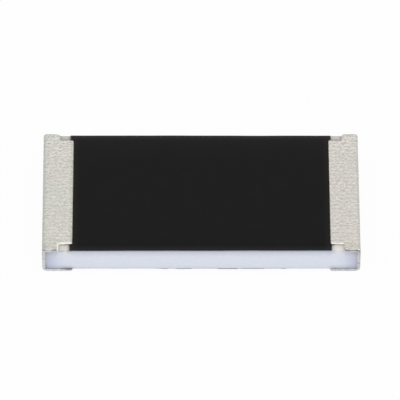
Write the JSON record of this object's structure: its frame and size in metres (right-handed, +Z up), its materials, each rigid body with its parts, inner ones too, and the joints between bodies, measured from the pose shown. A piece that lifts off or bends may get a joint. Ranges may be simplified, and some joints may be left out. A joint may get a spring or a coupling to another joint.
{
  "type": "smd chip resistor",
  "caption": "Flat thick film chip resistor for surface mounting: white ceramic plate, bare black overcoat and matt tin plated ends that solder to a circuit board.",
  "frame": {"origin": "middle of the underside, on the plane of the two solder faces", "axes": "+X along the chip from one plated end to the other, +Y across it, +Z up through the black overcoat"},
  "size_m": [0.0064, 0.0032, 0.0006],
  "materials": {
    "alumina": "bare white alumina, fine matt grain",
    "resistor_film": "fired ruthenium oxide film, dark and dull",
    "passivation_glass": "thin fired glass, greenish",
    "black_overcoat": "printed black epoxy, satin",
    "printed_silver": "fired silver print, dull",
    "end_silver": "dipped silver, dull",
    "nickel": "plated nickel, satin",
    "matt_tin": "plated tin, matt and finely grained"
  },
  "bodies": {
    "root": {"ceramic_substrate": "alumina", "resistive_element": "resistor_film", "glass_passivation": "passivation_glass", "overcoat": "black_overcoat", "top_electrode_left": "printed_silver", "top_electrode_right": "printed_silver", "bottom_electrode_left": "printed_silver", "bottom_electrode_right": "printed_silver", "end_electrode_left": "end_silver", "end_electrode_right": "end_silver", "nickel_barrier_left": "nickel", "nickel_barrier_right": "nickel", "tin_plating_left": "matt_tin", "tin_plating_right": "matt_tin"}
  },
  "joints": []
}
